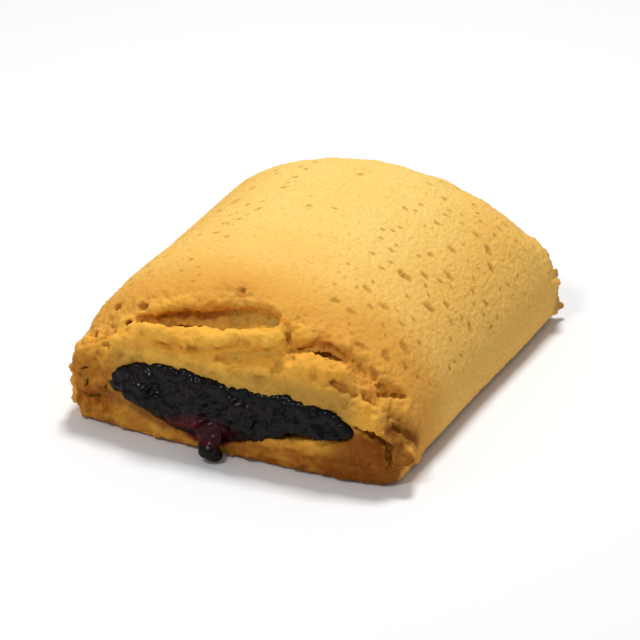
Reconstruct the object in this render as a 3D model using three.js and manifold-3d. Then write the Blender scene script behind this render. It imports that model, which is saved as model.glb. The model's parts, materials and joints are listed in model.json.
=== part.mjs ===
// A filled shortbread cookie: a short bar of crumbly dough with a flat base and an arched top, baked round a
// core of dark berry jam and cut across at both ends. The cuts pinch the dough, so the ends slope back
// towards the top, the crust tears open there, and the jam shows at both ends. At the front end some of it
// has run down over the lower edge and set as a bead.
//
// Millimetres. X runs across the bar, Y along it from the front cut (-Y) to the back cut, and Z is up.

import * as THREE from 'three';
import { mergeVertices } from 'three/addons/utils/BufferGeometryUtils.js';
import Module from 'manifold-3d';

const wasm = await Module();
wasm.setup();

// ---- Driving dimensions

const LENGTH = 52; // from cut to cut, at the base
const WIDTH = 45; // across the bar, at its widest
const HEIGHT = 21; // base to crown
const GAP = 0.3; // clear space between the dough and the jam

const WALL_LEVEL = 4.6; // height at which the sides are widest
const FOOT = 2.2; // how far in from the side the flat base ends
const ELLIPSE = 0.5523; // handle length that makes a Bezier curve follow a quarter of an ellipse

// The two cuts: which way each faces, how far its middle stands out, how far back the pinched crown starts
// and how much of the crown's height the slope takes up.
const FRONT = { way: -1, bow: 1.4, reach: 17, crownFill: 1 };
const BACK = { way: 1, bow: 1.2, reach: 14, crownFill: 0.9 };
const LOW_EDGE = { inset: 1.5, reach: 1.2 }; // rounding of the cut's edge at the base
const LEFT_SQUEEZE = { start: 14, amount: 0.045 }; // the left side narrows towards the front cut

const AROUND = 70; // points round the bar
const FRONT_RINGS = 24; // rings from mid-length to the front opening
const BACK_RINGS = 16;

// The jam's outline at each cut, as [x, z], counter-clockwise from the middle of its lower edge.
const FRONT_JAM = [
  [0.5, 2.5], [5.2, 3.7], [10, 4.8], [14.8, 5.5], [16.8, 6.7], [13.6, 8.5],
  [5, 9.2], [-2.5, 9.5], [-8.5, 9.9], [-12.8, 8.6], [-15, 6.9], [-11, 4.7], [-7, 2.9], [-3.5, 2.4],
];
const BACK_JAM = [
  [0, 3.0], [7, 3.3], [13, 4.6], [16, 6.3], [13.5, 8.0], [7, 9.1],
  [-1, 9.6], [-9, 8.8], [-14, 7.1], [-15.6, 5.7], [-12, 4.2], [-6, 3.4],
];
const CORE = { halfWidth: 15, halfHeight: 4.2, centre: 6.8 }; // the jam at mid-length
const JAM_AROUND = 64;
const JAM_RINGS = 5; // rings from the rim of each jam end to its middle line
const JAM_LUMP = { size: 2.6, height: 0.75, bulge: 0.6 };

// The drip: it leaves the front jam at its lower edge, lies against the lip and ends in a bead just above the ground.
const DRIP = { x: -0.7, halfWidth: 1.9, bead: 1.65, beadHeight: 2.2, clear: 0.45, foot: 0.6 };

// Unevenness of the surface: strongest near the cuts, slight on the dome.
const CRAGS = { size: 2.6, height: 0.42, start: 13 };
const WAVES = { size: 13, height: 0.28 };

// Soft ridges and hollows, from one end to the other: how wide they are and how far they stand out.
const SWELLS = [
  { from: [-11, -22, 16.6], to: [-1, -18.6, 19.4], width: 2.6, out: 0.55 }, // crust above the long tear
  { from: [-1, -18.6, 19.4], to: [8, -19.6, 17.8], width: 2.4, out: 0.5 },
  { from: [-10, -24.6, 13.4], to: [5, -23.2, 15.6], width: 1.5, out: 0.6 }, // lower lip of the tear
  { from: [7, -24, 13.9], to: [15.5, -22.9, 12.9], width: 1.3, out: 0.45 }, // lower lip of the short tear
  { from: [9, -20.6, 16.5], to: [15, -20, 15.2], width: 1.6, out: 0.4 },
  { from: [6.6, -23.2, 15.4], to: [6.4, -21, 17], width: 1.2, out: 0.5 }, // bridge between the tears
  { from: [-9, -25.4, 11.9], to: [12, -25, 11.2], width: 1.5, out: -0.4 }, // hollow above the jam
  { from: [20.4, -24.6, 3.2], to: [21.4, -23.6, 6], width: 1.5, out: 0.6 }, // folded corner
  { from: [-18, -24.6, 8.4], to: [-17.6, -23.6, 12], width: 1.5, out: 0.4 },
  { from: [-8, 22.4, 16.6], to: [7, 21.8, 17.2], width: 2.2, out: 0.5 },
  { from: [-10, 24.4, 12.6], to: [9, 24.4, 12.8], width: 1.5, out: 0.4 },
];

// Tears and notches in the crust, from one tip to the other: how wide they gape, how deep they go, how far
// their middle is arched upwards and how much wider they are towards the second tip.
const TEARS = [
  { from: [-12.3, -22.3, 13.9], to: [6.6, -21.4, 17.2], gape: 3.8, depth: 3, arch: 0.55, lean: 0.4 },
  { from: [-0.5, -19.3, 19.6], to: [0.4, -20.8, 18.4], gape: 0.9, depth: 0.9 },
  { from: [7.6, -22.4, 14.7], to: [14.7, -21.3, 14.5], gape: 2.3, depth: 2, arch: 0.5 },
  { from: [13.7, -24.2, 13.1], to: [16, -24.1, 11.8], gape: 0.8, depth: 0.8 },
  { from: [17.1, -23.6, 11.7], to: [19.2, -23.4, 10.6], gape: 0.9, depth: 1 },
  { from: [17.6, -21.5, 11.8], to: [21.2, -19, 9.6], gape: 1.3, depth: 1.2, arch: 0.2 },
  { from: [15.3, -21.5, 14], to: [17.6, -21.8, 12.6], gape: 0.8, depth: 0.8 },
  { from: [20.9, -22.8, 8.9], to: [22.3, -18.6, 4.6], gape: 1.9, depth: 1.3, arch: 0.2 }, // fold at the corner
  { from: [17, -25.2, 6.8], to: [20.6, -25, 4.8], gape: 0.7, depth: 1 }, // seam beside the jam
  { from: [20.4, -25, 4.9], to: [21.7, -24.1, 2.4], gape: 1.1, depth: 0.9 },
  { from: [2.8, -24.8, 11.6], to: [5.1, -25.3, 11.7], gape: 0.7, depth: 0.7 },
  { from: [-17.4, -20.9, 13.3], to: [-15.9, -20.6, 14.4], gape: 0.9, depth: 0.9 },
  { from: [-14.4, -23.6, 13.4], to: [-12.8, -23.6, 14.1], gape: 0.9, depth: 0.8 },
  { from: [-13.3, -22.2, 15.1], to: [-11.6, -22.1, 15.8], gape: 0.8, depth: 0.8 },
  { from: [-18.8, -23.8, 10.8], to: [-16.2, -23.4, 12.1], gape: 0.8, depth: 0.8 },
  { from: [-20, -24.6, 7.4], to: [-19.4, -24.9, 5.4], gape: 0.9, depth: 0.9 },
  { from: [-19.8, -24.8, 4.5], to: [-15.8, -25.6, 5.3], gape: 0.7, depth: 0.8 },
  { from: [-9, 23.2, 15], to: [5, 22.6, 15.6], gape: 2.4, depth: 2.2, arch: 0.4, lean: -0.3 },
  { from: [8.4, 23.2, 14], to: [13, 22.6, 13], gape: 1.4, depth: 1.4, arch: 0.2 },
  { from: [-15.6, 23, 12], to: [-12.8, 23.2, 12.8], gape: 1, depth: 1 },
  { from: [-18.6, 24.4, 6], to: [-15.8, 25, 5.8], gape: 0.8, depth: 0.9 },
];

// Crumbs stuck to the edges of the cuts and to the foot of the sides, as [x, y, z, radius].
const CRUMBS = [
  [21.9, 22.4, 6.0, 0.9], [22.1, 24.4, 2.0, 1.1], [22.4, -19.4, 1.1, 1.3], [21.8, -21.4, 4.4, 1.2],
  [-20.4, -23.2, 9.6, 0.7], [-21.2, 24, 2.6, 1.0], [-18.6, 23.6, 9.6, 0.9], [-22.3, 9, 1.2, 0.9],
  [20.4, 24.4, 0.9, 0.9],
];

// ---- Helpers

const smooth = THREE.MathUtils.smoothstep;
const { lerp, clamp } = THREE.MathUtils;

// One closed body from rows of points. Every row has the same number of points and closes on itself.
// With loop, the last row joins the first. Otherwise each end row is closed by a strip across it, which
// starts at the point a quarter of the way round.
function bodyFromRows(rows, loop) {
  const count = rows[0].length;
  const points = rows.flat();
  const faces = [];
  const at = (row, k) => (row % rows.length) * count + (k % count);
  for (let row = 0; row < rows.length - (loop ? 0 : 1); row++) {
    for (let k = 0; k < count; k++) {
      const [a, b, c, d] = [at(row, k), at(row, k + 1), at(row + 1, k + 1), at(row + 1, k)];
      faces.push(a, c, b, a, d, c);
    }
  }
  if (!loop) {
    const tip = Math.round(count / 4);
    for (const [row, turned] of [[0, false], [rows.length - 1, true]]) {
      for (let j = 0; j < count / 2; j++) {
        const [a, b] = [at(row, tip + j), at(row, tip + j + 1)];
        const [c, d] = [at(row, tip - j - 1 + count), at(row, tip - j + count)];
        for (const face of [[a, b, c], [a, c, d]]) {
          if (new Set(face).size === 3) faces.push(...(turned ? face.reverse() : face));
        }
      }
    }
  }
  const geometry = new THREE.BufferGeometry().setFromPoints(points);
  geometry.setIndex(faces);
  return geometry;
}

// Smooth value noise between -1 and 1, the same at every run.
function noise(p, size, seed) {
  const cell = p.clone().divideScalar(size);
  const low = cell.clone().floor();
  const t = cell.sub(low);
  const corner = (dx, dy, dz) => {
    let h = Math.imul(low.x + dx, 374761393) ^ Math.imul(low.y + dy, 668265263);
    h = Math.imul(h ^ Math.imul(low.z + dz + seed * 57, 2147483647), 1274126177);
    h ^= h >>> 15;
    h = Math.imul(h, 2246822519);
    h ^= h >>> 13;
    return ((h >>> 0) / 4294967295) * 2 - 1;
  };
  const ease = (v) => v * v * (3 - 2 * v);
  const [u, v, w] = [ease(t.x), ease(t.y), ease(t.z)];
  const edge = (dy, dz) => lerp(corner(0, dy, dz), corner(1, dy, dz), u);
  return lerp(lerp(edge(0, 0), edge(1, 0), v), lerp(edge(0, 1), edge(1, 1), v), w);
}

// Moves every point of a geometry along its own normal.
function displaced(geometry, distanceAt) {
  geometry.computeVertexNormals();
  const { position, normal } = geometry.attributes;
  const p = new THREE.Vector3();
  const n = new THREE.Vector3();
  for (let i = 0; i < position.count; i++) {
    p.fromBufferAttribute(position, i);
    n.fromBufferAttribute(normal, i);
    p.addScaledVector(n, distanceAt(p, n, i));
    position.setXYZ(i, p.x, p.y, Math.max(p.z, 0));
  }
  geometry.deleteAttribute('normal');
  return geometry;
}

function solid(geometry) {
  const bare = new THREE.BufferGeometry().setAttribute('position', geometry.getAttribute('position'));
  bare.setIndex(geometry.index);
  const merged = mergeVertices(bare, 1e-4);
  return new wasm.Manifold(new wasm.Mesh({
    numProp: 3,
    vertProperties: merged.attributes.position.array,
    triVerts: new Uint32Array(merged.index.array),
  }));
}

function geometryOf(made) {
  const mesh = made.getMesh();
  const geometry = new THREE.BufferGeometry();
  geometry.setAttribute('position', new THREE.BufferAttribute(mesh.vertProperties, 3));
  geometry.setIndex(new THREE.BufferAttribute(mesh.triVerts, 1));
  return geometry;
}

// A round lump with an uneven surface.
function lump(radius, detail, seed, roughness = 0.12) {
  const ball = mergeVertices(new THREE.IcosahedronGeometry(1, detail).deleteAttribute('uv').deleteAttribute('normal'));
  const { position } = ball.attributes;
  const p = new THREE.Vector3();
  for (let i = 0; i < position.count; i++) {
    p.fromBufferAttribute(position, i);
    p.multiplyScalar(radius * (1 + roughness * noise(p, 0.7, seed)));
    position.setXYZ(i, p.x, p.y, p.z);
  }
  return ball;
}

// The points of a path, resampled at equal steps, both ends included.
function evenly(path, steps) {
  const lengths = [0];
  for (let i = 1; i < path.length; i++) lengths.push(lengths[i - 1] + path[i].distanceTo(path[i - 1]));
  const total = lengths.at(-1);
  const result = [];
  let i = 1;
  for (let step = 0; step <= steps; step++) {
    const target = (total * step) / steps;
    while (i < path.length - 1 && lengths[i] < target) i++;
    const span = lengths[i] - lengths[i - 1];
    const share = span > 0 ? clamp((target - lengths[i - 1]) / span, 0, 1) : 0;
    result.push(path[i - 1].clone().lerp(path[i], share));
  }
  return result;
}

// ---- The bar's outlines

// The cross-section at mid-length: a flat base, rounded lower corners and an arch.
function crossSection() {
  const half = WIDTH / 2;
  const arch = HEIGHT - WALL_LEVEL;
  const path = new THREE.Path();
  path.moveTo(0, 0);
  path.lineTo(half - FOOT, 0);
  path.bezierCurveTo(half - 0.7, 0, half, 1.2, half, WALL_LEVEL);
  path.bezierCurveTo(half, WALL_LEVEL + ELLIPSE * arch, ELLIPSE * half, HEIGHT, 0, HEIGHT);
  path.bezierCurveTo(-ELLIPSE * half, HEIGHT, -half, WALL_LEVEL + ELLIPSE * arch, -half, WALL_LEVEL);
  path.bezierCurveTo(-half, 1.2, 0.7 - half, 0, FOOT - half, 0);
  path.lineTo(0, 0);
  return path.getSpacedPoints(AROUND).slice(0, AROUND);
}

// A closed outline through a few [x, z] points, grown outwards by margin.
function jamOutline(corners, margin, count) {
  const curve = new THREE.CatmullRomCurve3(corners.map(([x, z]) => new THREE.Vector3(x, z, 0)), true);
  const points = curve.getSpacedPoints(count).slice(0, count);
  return points.map((p, k) => {
    const before = points[(k + count - 1) % count];
    const after = points[(k + 1) % count];
    const out = new THREE.Vector2(after.y - before.y, before.x - after.x).normalize();
    return new THREE.Vector2(p.x + margin * out.x, p.y + margin * out.y);
  });
}

function coreOutline(margin, count) {
  const { halfWidth, halfHeight, centre } = CORE;
  return Array.from({ length: count }, (_, k) => {
    const angle = (2 * Math.PI * k) / count - Math.PI / 2;
    return new THREE.Vector2(
      (halfWidth + margin) * Math.cos(angle),
      centre + (halfHeight + margin) * Math.sin(angle),
    );
  });
}

// The rows of the jam, or of the tunnel round it, between the two openings.
function coreRow(front, back, core, y) {
  const end = y < 0 ? front : back;
  const share = smooth(Math.abs(y), 0, LENGTH / 2);
  return core.map((c, k) => new THREE.Vector3(lerp(c.x, end[k].x, share), y, lerp(c.y, end[k].y, share)));
}

// How far along Y the cut face lies at a given x: the cuts bow outwards in the middle.
function cutAt(end, x) {
  return end.way * (LENGTH / 2 - end.bow * (x / (WIDTH / 2)) ** 2);
}

// From mid-length, along the bar, over the edge of the cut and down the cut face to the jam.
function meridian(end, side, mouth, steps) {
  const up = smooth(side.y, 3, HEIGHT);
  const across = Math.hypot(side.x - mouth.x, side.y - mouth.y);
  const inset = lerp(LOW_EDGE.inset, across * end.crownFill, up);
  const reach = lerp(LOW_EDGE.reach, end.reach, up ** 1.2);
  const path = [new THREE.Vector3(side.x, 0, side.y)];
  const arcSteps = 24;
  for (let i = 0; i <= arcSteps; i++) {
    const angle = ((Math.PI / 2) * i) / arcSteps;
    const share = (inset * (1 - Math.cos(angle))) / across;
    const x = lerp(side.x, mouth.x, share);
    const back = reach * (1 - Math.sin(angle));
    path.push(new THREE.Vector3(x, cutAt(end, x) - end.way * back, lerp(side.y, mouth.y, share)));
  }
  path.push(new THREE.Vector3(mouth.x, cutAt(end, mouth.x), mouth.y));
  return evenly(path, steps);
}

// ---- Relief

const toVector = ([x, y, z]) => new THREE.Vector3(x, y, z);

// How far the surface stands out at a point: waves over the whole bar, crags near the cuts, and the swells.
function reliefAt(p) {
  const nearCut = smooth(Math.abs(p.y), CRAGS.start, LENGTH / 2 - 2);
  let out = WAVES.height * noise(p, WAVES.size, 3);
  out += CRAGS.height * lerp(0.2, 1, nearCut) * (noise(p, CRAGS.size, 5) + 0.5 * noise(p, CRAGS.size / 2, 9));
  for (const { from, to, width, out: lift } of SWELLS) {
    const line = new THREE.Line3(toVector(from), toVector(to));
    const gap = line.closestPointToPoint(p, true, new THREE.Vector3()).distanceTo(p);
    out += lift * Math.exp(-((gap / width) ** 2));
  }
  return out * smooth(p.z, 0, 2.5);
}

// The direction into the dough from a place near a cut.
function inwards(p) {
  return new THREE.Vector3(-p.x / 22, -Math.sign(p.y), -0.25).normalize();
}

// Where a line into the dough first meets its surface.
function onSurface(mesh, p) {
  const direction = inwards(p);
  const start = p.clone().addScaledVector(direction, -6);
  const [hit] = new THREE.Raycaster(start, direction).intersectObject(mesh);
  return hit ? hit.point : p.clone();
}

// The space a tear takes up: a pointed lens that follows the surface from tip to tip.
function tearCutter(mesh, { from, to, gape, depth, arch = 0, lean = 0 }, seed) {
  let [start, end] = [from, to].map((tip) => onSurface(mesh, toVector(tip)));
  const middle = start.clone().lerp(end, 0.5);
  const inward = inwards(middle);
  if (end.clone().sub(start).cross(inward).z < 0) [start, end] = [end, start];
  const upward = end.clone().sub(start).cross(inward).normalize();
  const bend = onSurface(mesh, middle).sub(middle).addScaledVector(upward, arch);
  const ball = lump(1, start.distanceTo(end) > 5 ? 4 : 1, seed, 0.2);
  const { position } = ball.attributes;
  const v = new THREE.Vector3();
  for (let i = 0; i < position.count; i++) {
    v.fromBufferAttribute(position, i);
    const point = start.clone().lerp(end, (1 + v.x) / 2);
    point.addScaledVector(bend, 1 - v.x ** 2);
    point.addScaledVector(inward, depth * v.y).addScaledVector(upward, (gape / 2) * (1 + lean * v.x) * v.z);
    position.setXYZ(i, point.x, point.y, point.z);
  }
  return solid(ball);
}

// ---- Dough

function doughShell() {
  const sides = crossSection();
  const front = jamOutline(FRONT_JAM, GAP, AROUND);
  const back = jamOutline(BACK_JAM, GAP, AROUND);
  const core = coreOutline(GAP, AROUND);
  const squeeze = (p) => {
    if (p.x < 0 && p.y < 0) p.x *= 1 - LEFT_SQUEEZE.amount * smooth(-p.y, LEFT_SQUEEZE.start, LENGTH / 2 - 2);
    return p;
  };
  const columns = sides.map((side, k) => {
    const forward = meridian(FRONT, side, front[k], FRONT_RINGS).reverse();
    const backward = meridian(BACK, side, back[k], BACK_RINGS).slice(1);
    return [...forward, ...backward].map((p, row) => (row > 0 ? squeeze(p) : p));
  });
  const rows = columns[0].map((_, row) => columns.map((column) => column[row]));
  const outer = rows.length;
  for (const y of [LENGTH / 4, 0, -LENGTH / 4]) rows.push(coreRow(front, back, core, y));
  const geometry = bodyFromRows(rows, true);
  return displaced(geometry, (p, n, i) => {
    const row = Math.floor(i / AROUND);
    const fromMouth = Math.min(row, outer - 1 - row);
    return fromMouth <= 0 ? 0 : Math.min(1, fromMouth / 3) * reliefAt(p);
  });
}

function dough() {
  const shell = doughShell();
  const surface = new THREE.Mesh(shell);
  let made = solid(shell);
  for (const [x, y, z, radius] of CRUMBS) {
    const place = onSurface(surface, new THREE.Vector3(x, y, z));
    place.addScaledVector(inwards(place), radius * 0.45);
    const crumb = lump(radius, 1, Math.round(10 * (x + z)), 0.35);
    made = made.add(solid(crumb.scale(1, 1.2, 0.85).translate(place.x, place.y, Math.max(place.z, radius))));
  }
  TEARS.forEach((tear, i) => {
    made = made.subtract(tearCutter(surface, tear, i + 20));
  });
  const whole = made.decompose().sort((one, other) => other.volume() - one.volume())[0]; // loose crumbs fall off
  return geometryOf(whole);
}

// ---- Jam

// Rings that close one end of the jam, from its rim to a line along its middle, with a lumpy surface that
// bulges out.
function jamEnd(end, outline, seed) {
  const xs = outline.map((p) => p.x);
  const [left, right] = [Math.min(...xs), Math.max(...xs)];
  const heights = outline.map((p) => p.y);
  const level = (Math.min(...heights) + Math.max(...heights)) / 2;
  const rest = 0.7; // share of the width that the middle line takes
  return Array.from({ length: JAM_RINGS }, (_, ring) => {
    const share = 1 - ring / (JAM_RINGS + 0.5);
    return outline.map((rim) => {
      const middle = new THREE.Vector2(lerp((left + right) / 2, rim.x, rest), lerp(level, rim.y, 0.1));
      const flat = middle.lerp(rim, share);
      const p = new THREE.Vector3(flat.x, cutAt(end, flat.x), flat.y);
      const lumps = noise(p, JAM_LUMP.size, seed) + 0.4 * noise(p, JAM_LUMP.size / 2, seed + 1);
      p.y += end.way * (1 - share ** 3) * (JAM_LUMP.bulge + JAM_LUMP.height * lumps);
      return p;
    });
  });
}

// The drip: rings round a line that leaves the jam over the lip and falls almost to the ground.
function drip() {
  const { x, halfWidth, bead, beadHeight, clear, foot } = DRIP;
  const face = cutAt(FRONT, x);
  const line = new THREE.CatmullRomCurve3([
    new THREE.Vector3(x - 0.6, face + 1.2, 4.3),
    new THREE.Vector3(x - 0.5, face - 0.5, 4.0),
    new THREE.Vector3(x - 0.2, face - clear - 0.8, 2.9),
    new THREE.Vector3(x, face - clear - 1.5, foot + beadHeight / 2),
    new THREE.Vector3(x, face - clear - 1.7, foot - 0.15),
  ]);
  const steps = 12;
  const rows = [];
  for (let i = 0; i < steps; i++) {
    const t = i / steps;
    const centre = line.getPoint(t);
    const along = line.getTangent(t);
    const across = new THREE.Vector3(1, 0, 0);
    const out = across.clone().cross(along).normalize();
    const low = smooth(t, 0.5, 0.75);
    const close = Math.sqrt(Math.max(0, 1 - smooth(t, 0.72, 1.02) ** 2));
    const wide = lerp(halfWidth, bead, low) * close;
    const thick = lerp(0.72, bead * 0.85, low) * close;
    rows.push(Array.from({ length: 18 }, (_, k) => {
      const angle = (2 * Math.PI * k) / 18;
      return centre.clone()
        .addScaledVector(across, wide * Math.cos(angle))
        .addScaledVector(out, thick * Math.sin(angle));
    }));
  }
  return bodyFromRows(rows, false);
}

function jam() {
  const front = jamOutline(FRONT_JAM, 0, JAM_AROUND);
  const back = jamOutline(BACK_JAM, 0, JAM_AROUND);
  const core = coreOutline(0, JAM_AROUND);
  const rows = [
    ...jamEnd(FRONT, front, 31).reverse(),
    ...[-LENGTH / 4, 0, LENGTH / 4].map((y) => coreRow(front, back, core, y)),
    ...jamEnd(BACK, back, 37),
  ];
  return geometryOf(solid(bodyFromRows(rows, false)).add(solid(drip())));
}

// ---- The cookie

const doughMaterial = new THREE.MeshStandardMaterial({ color: 0xe8bd68, roughness: 0.85, metalness: 0 });
const jamMaterial = new THREE.MeshStandardMaterial({ color: 0x17161c, roughness: 0.25, metalness: 0 });

const cookie = new THREE.Group();
for (const [name, geometry, material] of [['dough', dough(), doughMaterial], ['jam', jam(), jamMaterial]]) {
  const mesh = new THREE.Mesh(geometry, material);
  mesh.name = name;
  cookie.add(mesh);
}

// The frame's origin is under the middle of the whole cookie, drip included.
const bounds = new THREE.Box3().setFromObject(cookie);
const centre = bounds.getCenter(new THREE.Vector3());
cookie.position.set(-centre.x, -centre.y, -bounds.min.z);

export default cookie;
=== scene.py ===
# %% [markdown]
# # A filled shortbread cookie
#
# A short bar of shortbread is baked round a core of dark berry jam and cut across at both ends. The solid
# model already has the true size, the arched form, the tears in the crust and the jam that runs through.
# This lesson gives it its looks: a sandy golden crust with small pits, torn and crumbly ends, and a lumpy,
# glossy jam with a set drip. It starts by loading the solids, and nothing after that changes their size.

# %% Load the solid cookie
import json
import math
import random

import bpy
import numpy as np
from mathutils import Matrix, Vector

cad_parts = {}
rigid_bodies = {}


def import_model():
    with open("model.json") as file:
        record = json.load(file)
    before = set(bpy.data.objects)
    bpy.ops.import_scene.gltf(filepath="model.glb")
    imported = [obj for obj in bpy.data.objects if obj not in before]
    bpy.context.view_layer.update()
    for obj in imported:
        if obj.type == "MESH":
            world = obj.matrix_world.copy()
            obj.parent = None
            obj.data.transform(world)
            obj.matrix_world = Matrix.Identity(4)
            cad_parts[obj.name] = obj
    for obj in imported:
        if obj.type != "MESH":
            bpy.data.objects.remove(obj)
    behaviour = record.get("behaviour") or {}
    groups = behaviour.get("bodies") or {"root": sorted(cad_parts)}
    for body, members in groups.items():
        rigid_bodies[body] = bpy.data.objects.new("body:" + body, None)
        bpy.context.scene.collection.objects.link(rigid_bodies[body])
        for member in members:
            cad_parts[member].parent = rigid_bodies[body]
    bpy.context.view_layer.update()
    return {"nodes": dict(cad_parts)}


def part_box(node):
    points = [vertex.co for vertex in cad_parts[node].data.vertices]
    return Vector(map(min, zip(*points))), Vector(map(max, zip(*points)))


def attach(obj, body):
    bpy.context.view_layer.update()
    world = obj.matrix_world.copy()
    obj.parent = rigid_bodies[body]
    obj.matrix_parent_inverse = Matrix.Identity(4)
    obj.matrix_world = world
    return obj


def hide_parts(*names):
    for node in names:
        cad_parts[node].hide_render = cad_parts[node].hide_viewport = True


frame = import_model()
MM = 0.001  # the scene is in metres, and a cookie is measured in millimetres

# %% [markdown]
# ## Places on the cookie
#
# Everything below needs to know where the two cuts and the crown are. They could be typed in, but they are
# read from the boxes of the solids, so that the looks follow the solids if those change. The front cut is
# the one with the drip, and faces -Y.

# %% Named places, in millimetres
dough_low, dough_high = [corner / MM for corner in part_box("dough")]
jam_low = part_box("jam")[0] / MM
FRONT_CUT = dough_low.y
BACK_CUT = dough_high.y
CROWN = dough_high.z
AXIS_HEIGHT = 6.0  # height of the line that the bar is arched round
TUNNEL_HEIGHT = 6.8  # height of the middle of the tunnel that the jam fills
TUNNEL_HALF_WIDTH, TUNNEL_HALF_HEIGHT = 15.5, 4.6
JAM_SLOPE = 0.02  # the jam rises a little from left to right
DRIP_X = -0.6  # the drip hangs a little left of the middle
print("front cut", round(FRONT_CUT, 1), "back cut", round(BACK_CUT, 1), "crown", round(CROWN, 1))

# %% [markdown]
# ## Four small helpers
#
# Operators act on all that is selected, so each step first picks one object and nothing else. Modifiers are
# applied as soon as they are set, because later steps read the mesh that they leave.

# %% Pick, modify and copy
def pick(piece):
    """Selects one object and nothing else, and makes it active."""
    bpy.ops.object.select_all(action="DESELECT")
    piece.select_set(True)
    bpy.context.view_layer.objects.active = piece


def modify(piece, kind, **settings):
    """Adds one modifier, sets it and applies it."""
    pick(piece)
    modifier = piece.modifiers.new(kind.title(), kind)
    for name, value in settings.items():
        setattr(modifier, name, value)
    bpy.ops.object.modifier_apply(modifier=modifier.name)


def copy_of(node, name):
    """A piece with its own copy of a solid's mesh, its loose triangles merged."""
    piece = bpy.data.objects.new(name, frame["nodes"][node].data.copy())
    bpy.context.scene.collection.objects.link(piece)
    pick(piece)
    bpy.ops.object.mode_set(mode="EDIT")
    bpy.ops.mesh.select_all(action="SELECT")
    bpy.ops.mesh.remove_doubles(threshold=0.001 * MM)
    bpy.ops.object.mode_set(mode="OBJECT")
    piece.data.materials.clear()
    return piece


def points(piece, what="co"):
    """The vertices' places in millimetres, or their normals, as an array with one row each."""
    values = np.empty(len(piece.data.vertices) * 3, np.float32)
    if what == "normal":
        piece.data.vertex_normals.foreach_get("vector", values)
        return values.reshape(-1, 3)
    piece.data.vertices.foreach_get("co", values)
    return values.reshape(-1, 3) / MM


# %% [markdown]
# ## Masks
#
# The crust, the cut faces, the foot and the dome need different treatment, and they blend into each other.
# Each region is a number from 0 to 1 at every vertex. As a vertex group it limits a modifier, and as an
# attribute it mixes colours in a material. A painted mask would be lost at each remesh, so masks are worked
# out from places and made again when they are needed.

# %% Mask helpers
MASK_STEPS = 32  # a vertex group is filled one weight at a time, so its weights are rounded to a few


def ramp(value, start, end):
    """0 at start, 1 at end, and smooth between them."""
    share = np.clip((value - start) / (end - start), 0, 1)
    return share * share * (3 - 2 * share)


def group(piece, mask):
    """Stores a mask as a vertex group that a modifier can read, and returns its name."""
    made = piece.vertex_groups.get("mask") or piece.vertex_groups.new(name="mask")
    steps = np.round(np.clip(mask, 0, 1) * MASK_STEPS).astype(int)
    for step in range(MASK_STEPS + 1):
        made.add(np.flatnonzero(steps == step).tolist(), step / MASK_STEPS, "REPLACE")
    return made.name


def attribute(piece, name, mask):
    """Stores a mask as an attribute that a material can read."""
    made = piece.data.attributes.get(name) or piece.data.attributes.new(name, "FLOAT", "POINT")
    made.data.foreach_set("value", np.clip(mask, 0, 1).astype(np.float32))


def near_cuts(place, start, end):
    """0 on the dome, rising from start to end millimetres behind each cut."""
    from_cut = np.minimum(place[:, 1] - FRONT_CUT, BACK_CUT - place[:, 1])
    return ramp(-from_cut, -start, -end)


# %% [markdown]
# ## Crumbs on the torn ends
#
# Where the bar was cut, the dough broke into crumbs of one to three millimetres that baked on where they
# lay. Noise alone gives soft swellings, not separate crumbs with gaps between them. So one crumb is modelled
# as an uneven ball, and copies of it, each with its own size and turn, are half sunk into the end walls. The
# remesh of the dough's body, further on, welds them to it.

# %% Find the crust
solid_dough = frame["nodes"]["dough"]


def on_crust(place):
    """The spot on the solid dough nearest to a place, in millimetres, and the normal there."""
    _, spot, normal, _ = solid_dough.closest_point_on_mesh(Vector(place) * MM)
    return spot / MM, normal


# %% Model one crumb
def ball(subdivisions):
    """A ball one millimetre in radius, at the origin."""
    bpy.ops.object.select_all(action="DESELECT")
    bpy.ops.mesh.primitive_ico_sphere_add(subdivisions=subdivisions, radius=1 * MM, location=(0, 0, 0))
    return bpy.context.object


def clouds(name, size, **settings):
    """A procedural texture whose features are size millimetres apart."""
    made = bpy.data.textures.new(name, "CLOUDS")
    made.noise_scale = size * MM
    for setting, value in settings.items():
        setattr(made, setting, value)
    return made


crumb = ball(3)
bpy.ops.object.mode_set(mode="EDIT")
bpy.ops.transform.resize(value=(1, 0.8, 0.7))
bpy.ops.object.mode_set(mode="OBJECT")
modify(crumb, "DISPLACE", texture=clouds("uneven", 0.9), texture_coords="LOCAL", strength=0.9 * MM,
       mid_level=0.5)
print("crumb, mm:", [round(side / MM, 1) for side in crumb.dimensions])

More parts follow.
